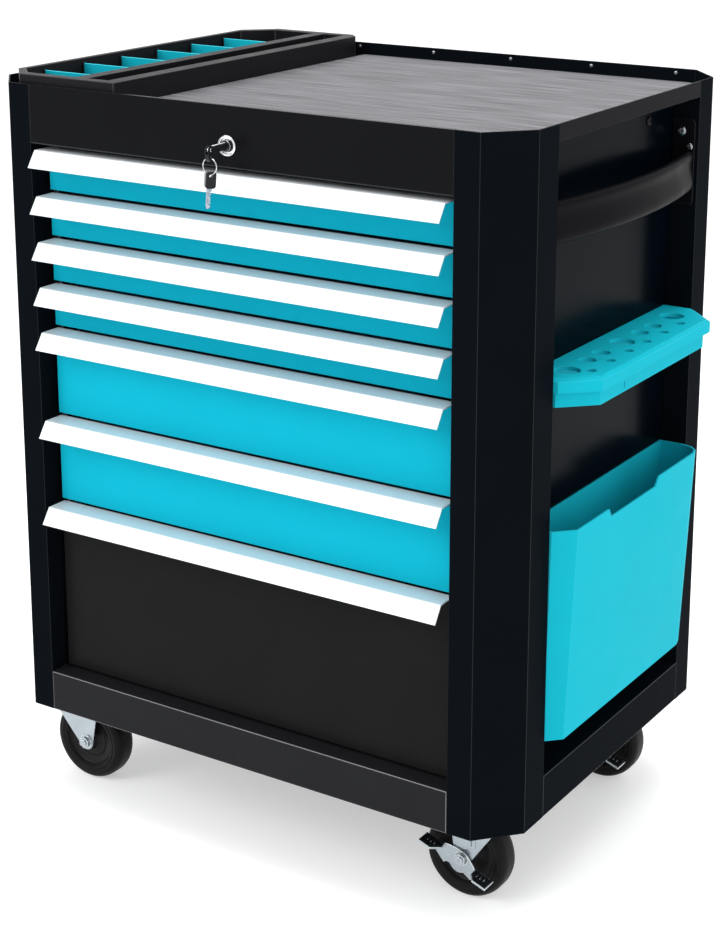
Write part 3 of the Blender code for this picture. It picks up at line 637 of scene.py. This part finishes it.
def axle_nuts(node, body):
    """Hexagon nuts with washers and a rounded bolt end, in place of the CAD bolt."""
    low, high = cabinet_box(node)
    x, z = (low.x + high.x) / 2, (low.z + high.z) / 2
    shapes = [cylinder((x, low.y, z), (x, high.y, z), 0.0040, segments=32)]
    for start, end in ((low.y + 0.0018, low.y + 0.0062), (high.y - 0.0055, high.y - 0.0012)):
        shapes.append(cylinder((x, start, z), (x, end, z), 0.0074, segments=6))
    washers = [cylinder((x, low.y + 0.0060, z), (x, low.y + 0.0068, z), 0.0086, segments=40)]
    bolt = piece(f"{node}_bolt", together(*shapes, *washers), ZINC, body, smooth=30, stands_for=(node,))
    rounded(bolt, 0.0005, segments=2)


def plate_bolts(name, centre, top):
    """Four hexagon bolt heads under a caster's mounting plate."""
    shapes = []
    for dx in (-0.027, 0.027):
        for dy in (-0.036, 0.036):
            x, y = centre.x + dx, centre.y + dy
            shapes.append(cylinder((x, y, top - 0.0042), (x, y, top - 0.0004), 0.0058, segments=6))
            shapes.append(cylinder((x, y, top - 0.0008), (x, y, top + 0.0002), 0.0075, segments=32))
    bolts = piece(name, together(*shapes), ZINC, "cabinet", smooth=30)
    rounded(bolts, 0.0004, segments=2)


def lever_blade():
    """The rocker plate's outline about its axle: a shoulder at each end and a notch below."""
    outline = [(-0.0335, 0.0015), (-0.0225, -0.0114), (-0.0200, -0.0092), (-0.0165, -0.0094)]
    outline += arc((-0.0030, -0.0060), 0.0122, 205, 295, 6)
    outline += [(0.0105, -0.0230), (0.0130, -0.0225), (0.0175, -0.0110), (0.0150, -0.0060), (0.0085, 0.0030)]
    outline += [(0.0030, 0.0078), (-0.0050, 0.0102), (-0.0130, 0.0118), (-0.0200, 0.0125), (-0.0265, 0.0085)]
    return outline


def foot_pad(x0, x1, front, back, low, high, cut):
    """A pad with its front corner towards the axle cut off: a cut below 0 is at the pad's left."""
    if cut > 0:
        outline = [(x0, front), (x1 - cut, front), (x1, front + cut * 1.3), (x1, back), (x0, back)]
    else:
        outline = [(x0 - cut, front), (x1, front), (x1, back), (x0, back), (x0, front - cut * 1.3)]
    return plate(outline, "Z", low, high)


def brake_lever(side):
    """The brake's rocker: its plate, two foot pads turned out from it, and their dark, ribbed tops."""
    node, body = f"brake_lever_{side}", f"brake_{side[0]}"
    axle_low, axle_high = cabinet_box(f"swivel_axle_{side}")
    centre = Vector(((axle_low.x + axle_high.x) / 2, 0, (axle_low.z + axle_high.z) / 2))
    front, behind = cabinet_box(node)[0].y, cabinet_box(node)[1].y
    blade = plate(lever_blade(), "Y", behind - 0.0022, behind)
    bmesh.ops.translate(blade, verts=blade.verts, vec=centre)
    tilt = Matrix.Translation(centre) @ Matrix.Rotation(radians(20), 4, "Y")
    rib_pitch, rib_width = 0.0045, 0.0011
    pads, tops, ribs = [], [], []
    for x0, x1, high, cut in ((-0.0480, -0.0235, 0.0017, 0.0085), (0.0190, 0.0430, -0.0018, -0.0070)):
        pads.append(foot_pad(x0, x1, front, behind - 0.0006, high - 0.0024, high, cut))
        left, right, near, far = x0 + 0.0012, x1 - 0.0012, front + 0.0012, behind - 0.0030
        tops.append(foot_pad(left, right, near, far, high - 0.0004, high + 0.0004, cut))
        for i in range(3):
            x = x0 + 0.0064 + rib_pitch * i
            ribs.append(box((x, front + 0.0085, high), (x + rib_width, behind - 0.0070, high + 0.0008)))
    plates, dark, raised = together(*pads), together(*tops), together(*ribs)
    for shape in (plates, dark, raised):
        shape.transform(tilt)
    lever = piece(f"{node}_plate", together(blade, plates), ZINC, body, stands_for=(node,))
    rounded(lever, 0.0005, segments=2)
    rounded(piece(f"{node}_tops", dark, PAD, body), 0.0003, segments=2)
    # The ribs are real raised shapes; their bright zinc on the dark pad tops is a painted highlight standing
    # in for glints.
    rounded(piece(f"{node}_ribs", raised, ZINC, body), 0.0003, segments=2)
    fork_rib(side, centre, behind + 0.0006)


def fork_rib(side, centre, face):
    """The upright rib pressed into the fork's leg, with a dark strip beside it as painted shade for its
    groove.
    """
    clear_of_lever = 0.0160
    groove_shade_width, rib_reach = 0.0014, 0.0050
    low, high = centre.z + clear_of_lever, cabinet_box(f"swivel_fork_{side}")[1].z - 0.0060
    x = centre.x + 0.0100
    # The groove is a dark strip flush with the leg's face: painted shade, not a cut.
    groove = box((x, face - 0.0003, low), (x + groove_shade_width, face + 0.0003, high))
    rib = box((x + groove_shade_width, face - 0.0011, low - 0.0020), (x + rib_reach, face + 0.0003, high))
    for name, shape, finish in (("groove", groove, HUB), ("rib", rib, ZINC)):
        part = piece(f"swivel_fork_{side}_{name}", shape, finish, f"swivel_{side[0]}")
        rounded(part, 0.0002, segments=2)


def casters():
    wheel("wheel_front_left", "wheel_fl")
    wheel("wheel_rear_left", "wheel_rl")
    wheel("wheel_front_right", "wheel_fr")
    wheel("wheel_rear_right", "wheel_rr")
    for side in ("front", "rear"):
        swivel = f"swivel_{side[0]}"
        refined(f"fixed_fork_{side}", 0.0005, segments=2)
        refined(f"swivel_fork_{side}", 0.0006, segments=2)
        brake_lever(side)
        refined(f"caster_plate_{side}", 0.0004, segments=2)
        axle_nuts(f"fixed_axle_{side}", "cabinet")
        axle_nuts(f"swivel_axle_{side}", swivel)
        for node in (f"fixed_fork_{side}", f"caster_plate_{side}"):
            low, high = cabinet_box(node)
            plate_bolts(f"{node}_bolts", (low + high) / 2, high.z - 0.0025)


# --- Lock and keys -------------------------------------------------------------------------------


def lock_and_keys():
    low, high = cabinet_box("lock_barrel")
    centre = Vector(((low.x + high.x) / 2, 0, (low.z + high.z) / 2))
    radius = (high.x - low.x) / 2
    profile = [
        (0.0069, low.y + 0.0030),
        (0.0083, low.y + 0.0030),
        (0.0088, low.y + 0.0012),
        (0.0095, low.y + 0.0011),
        (0.0097, low.y + 0.0002),
        (radius - 0.0008, low.y + 0.0005),
        (radius, low.y + 0.0014),
        (radius, -0.0003),
        (0.0090, -0.0003),
        (0.0090, high.y),
        (0.0069, high.y),
    ]
    ring = lathe(profile, centre, segments=72)
    piece("lock_ring", ring, CHROME, "cabinet", smooth=25, stands_for=("lock_barrel",))
    face = cabinet_box("lock_cylinder")[0].y
    refined("lock_cylinder", 0.0003, segments=2)
    rim = lathe([(0.0058, face + 0.0005), (0.0061, face - 0.0002), (0.0065, face + 0.0005)], centre)
    piece("plug_rim", rim, CHROME, "lock", smooth=60)
    refined("key_blade", 0.0002, segments=2)
    refined("key_head", 0.0007, segments=3)
    folding_key(centre)

    ring_low, ring_high = cabinet_box("key_ring")
    middle = (ring_low + ring_high) / 2
    wire = (ring_high.y - ring_low.y) / 2
    major = ((ring_high.z - ring_low.z) / 2 - wire) * 0.92
    middle.z = ring_high.z - wire - major
    coil = wire * 0.46
    turns = [(2 * pi * i / 10) for i in range(10)]
    coils = []
    for side in (-1, 1):
        section = [(major + coil * cos(a), side * coil * 1.12 + coil * sin(a)) for a in turns]
        coils.append(lathe(section, middle, segments=72))
    piece("ring_wire", together(*coils), CHROME, "ring", smooth=80, stands_for=("key_ring",))
    spare_key(Vector((middle.x, middle.y + 0.0015, middle.z - major)))


def folding_key(centre):
    """The dark sleeve on the key in the lock, with its bright back, and the rivet that its head folds on."""
    hinge_y = cabinet_box("key_blade")[0].y + 0.0036
    start, end = hinge_y + 0.0055, -0.0038
    sleeve = box((-0.0021, start, -0.0036), (0.0021, end, 0.0034))
    back = box((-0.0009, start - 0.0020, 0.0030), (0.0009, end, 0.0042))
    # The back is the blade's real top edge; its bright, diffuse silver finish is a painted highlight along
    # it.
    for name, shape, finish, slot in (
        ("key_sleeve", sleeve, KEY_PLASTIC, "key_head"),
        ("key_back", back, SILVER, "key_blade"),
    ):
        bmesh.ops.translate(shape, verts=shape.verts, vec=centre)
        rounded(piece(name, shape, finish, "lock"), 0.0006, segments=2)
    rivet = cylinder((-0.0027, hinge_y, centre.z), (0.0027, hinge_y, centre.z), 0.0019, segments=28)
    rounded(piece("key_rivet", rivet, CHROME, "key_fold"), 0.0004, segments=2)


def spare_key(hang):
    """The spare key, which hangs from the ring: a moulded head with a bright side, on a toothed blade."""
    hole_z = hang.z - 0.0018
    half, corner = 0.0057, 0.0030
    top, shoulder, tip = hole_z + 0.0046, hole_z - 0.0132, hole_z - 0.0355
    outline = arc((half - corner, top - corner), corner, 0, 90, 5)
    outline += arc((corner - half, top - corner), corner, 90, 180, 5)
    outline += arc((corner - half, shoulder + corner), corner, 180, 270, 4)
    outline += arc((half - corner, shoulder + corner), corner, 270, 360, 4)
    head = plate(outline, "X", -0.0010, 0.0020)
    core = plate([(y * 0.97, z * 0.97 + hole_z * 0.03) for y, z in outline], "X", -0.0050, -0.0009)
    teeth = [(-0.0027, shoulder + 0.001), (-0.0027, tip + 0.0030), (-0.0012, tip)]
    steps = 6
    span = shoulder - tip - 0.004
    for i in range(steps):
        z = tip + 0.0012 + span * i / steps
        depth = 0.0014 + 0.0010 * (i * 5 % 7) / 6
        step = span / steps
        teeth += [(0.0027 - depth, z), (0.0027 - depth, z + step * 0.35), (0.0026, z + step * 0.7)]
    teeth += [(0.0030, shoulder - 0.002), (0.0030, shoulder + 0.001)]
    blade = plate(teeth, "X", -0.0036, -0.0018)
    slot = [(-0.0014, shoulder), (-0.0014, tip + 0.005), (-0.0002, tip + 0.005), (-0.0002, shoulder)]
    groove = plate(slot, "X", -0.0022, -0.0010)
    shapes = (head, core, blade, groove)
    for shape in shapes:
        hang_up(shape, hang, hole_z)
    front = piece("spare_key_head", head, KEY_PLASTIC, "ring")
    side = piece("spare_key_core", core, KEY_SIDE, "ring")
    for part in (front, side):
        hole = cylinder((-0.01, 0, hole_z), (0.01, 0, hole_z), 0.0023, segments=28)
        hang_up(hole, hang, hole_z)
        carve(part, hole)
    rounded(front, 0.0006, segments=3)
    rounded(side, 0.0004, segments=2)
    shank = piece("spare_key_blade", blade, KEY_STEEL, "ring")
    carve(shank, groove)
    rounded(shank, 0.0002, segments=2)


def hang_up(shape, hang, hole_z):
    """Turns a shape of the spare key as it hangs: towards the front, with its tip to the left."""
    pivot = (0, 0, hole_z)
    turned_shape(shape, radians(-30), "Z", pivot)
    turned_shape(shape, radians(5), "Y", pivot)
    bmesh.ops.translate(shape, verts=shape.verts, vec=(hang.x, hang.y, 0))


# --- Organiser, tool holder and bin --------------------------------------------------------------


def organiser():
    refined("organiser_tray", 0.0009, segments=3)
    shapes = []
    for number in range(1, 7):
        node = f"organiser_divider_{number}"
        low, high = cabinet_box(node)
        refined(node, 0.0004, segments=2)
        for x0, x1 in ((low.x - SKIN, low.x + 0.0016), (high.x - 0.0016, high.x + SKIN)):
            for y0, y1 in ((low.y - 0.0014, low.y - 0.0002), (high.y + 0.0002, high.y + 0.0014)):
                shapes.append(box((x0, y0, low.z), (x1, y1, high.z + 0.0015)))
    guides = piece("divider_guides", together(*shapes), TRAY, "organiser")
    rounded(guides, 0.0003, segments=2)


HOLDER_CHAMFER = 0.034


def holder_plan(low, high, inset=0.0, wall=0.0):
    """The rack's plan, moved in by inset, and by wall from the panel."""
    inner, out = low.x + wall, high.x - inset - wall
    near, far = low.y + inset + wall, high.y - inset - wall
    return [
        (inner, near),
        (out - HOLDER_CHAMFER, near),
        (out, near + HOLDER_CHAMFER),
        (out, far - HOLDER_CHAMFER),
        (out - HOLDER_CHAMFER, far),
        (inner, far),
    ]


def holder_holes():
    """Three big holes with two medium ones after each but the last, and an outer row of small ones."""
    first, pitch = 0.122, 0.1275
    for i in range(3):
        y = first + pitch * i
        yield 0.337, y, 0.0138
        if i < 2:
            yield 0.337, y + 0.35 * pitch, 0.0098
            yield 0.337, y + 0.61 * pitch, 0.0098
    for i in range(6):
        yield 0.358, 0.135 + 0.0437 * i, 0.0054


def tool_holder():
    """The rack: a lipped plate with a sloped rim over a set-in body, and two rows of round holes."""
    low, high = cabinet_box("tool_holder")
    top, slope = high.z, 0.0036
    rings = [
        [(x, y, top - 0.015) for x, y in holder_plan(low, high)],
        [(x, y, top - slope * 0.8) for x, y in holder_plan(low, high)],
        [(x, y, top) for x, y in holder_plan(low, high, inset=slope)],
    ]
    shape = loft(rings)
    rack = piece("tool_rack", shape, PLASTIC, "holder", stands_for=("tool_holder",))
    carve(rack, plate(holder_plan(low, high, inset=0.0055), "Z", low.z, top - 0.014), "UNION")
    hollow = plate(holder_plan(low, high, inset=0.0055, wall=0.003), "Z", low.z - 0.02, top - 0.0045)
    carve(rack, hollow)
    for x, y, radius in holder_holes():
        carve(rack, cylinder((x, y, top - 0.02), (x, y, top + 0.01), radius, segments=64))
    slit = box((high.x - 0.0080, 0.1800, low.z + 0.0040), (high.x - 0.0048, 0.1822, low.z + 0.0110))
    carve(rack, slit)
    rack.data.shade_smooth()
    rack.data.set_sharp_from_angle(angle=radians(30))
    rounded(rack, 0.0013, segments=4, angle=35)


cabinet()
drawers()
casters()
lock_and_keys()
organiser()
tool_holder()
refined("side_bin", 0.0009, segments=3, smooth=40)
refined("lock_bar", 0.0003, segments=2)


# --- Studio --------------------------------------------------------------------------------------


def area_light(name, at, target, size, power, colour=(1, 1, 1)):
    data = bpy.data.lights.new(name, "AREA")
    data.shape = "RECTANGLE"
    data.size, data.size_y = size
    data.energy = power
    data.color = colour
    lamp = bpy.data.objects.new(name, data)
    bpy.context.scene.collection.objects.link(lamp)
    lamp.location = at
    lamp.rotation_mode = "QUATERNION"
    lamp.rotation_quaternion = (Vector(target) - Vector(at)).to_track_quat("-Z", "Y")
    return lamp


def studio():
    """A plain pale floor, a pale surround and large soft lights."""
    shape = bmesh.new()
    bmesh.ops.create_grid(shape, x_segments=8, y_segments=8, size=14.0)
    mesh = bpy.data.meshes.new("floor")
    shape.to_mesh(mesh)
    shape.free()
    floor = bpy.data.objects.new("floor", mesh)
    bpy.context.scene.collection.objects.link(floor)
    paint = surface("floor_paint", (0.74, 0.74, 0.74), 0.75, vary=0.008, cloud=0.7, specular=0.1)
    glow = paint.node_tree.nodes["Principled BSDF"]
    glow.inputs["Emission Color"].default_value = (1, 1, 1, 1)
    glow.inputs["Emission Strength"].default_value = 0.40
    mesh.materials.append(paint)

    world = bpy.data.worlds.new("surround")
    world.use_nodes = True
    background = world.node_tree.nodes["Background"]
    background.inputs["Color"].default_value = (1, 1, 1, 1)
    background.inputs["Strength"].default_value = 1.0
    bpy.context.scene.world = world
    area_light("front_light", (-1.6, -3.2, 2.6), (0, 0, 0.45), (2.2, 2.2), 68)
    area_light("right_light", (3.2, -0.8, 1.8), (0, 0, 0.45), (1.6, 2.2), 10)
    area_light("top_light", (0.2, 0.3, 3.2), (0, 0, 0.5), (2.4, 2.4), 68)
    bpy.context.scene.view_settings.view_transform = "Standard"


def camera():
    """The camera stands to the right of the front, above the worktop's height."""
    data = bpy.data.cameras.new("camera")
    data.lens = 76.94
    data.shift_y = -0.1832
    eye = bpy.data.objects.new("camera", data)
    bpy.context.scene.collection.objects.link(eye)
    azimuth, elevation = radians(32.88), radians(14.57)
    back = Vector((sin(azimuth) * cos(elevation), -cos(azimuth) * cos(elevation), sin(elevation)))
    eye.location = spot(1.2369, -1.6588, 1.0778)
    eye.rotation_mode = "QUATERNION"
    eye.rotation_quaternion = (-back).to_track_quat("-Z", "Y")
    bpy.context.scene.camera = eye


studio()
camera()
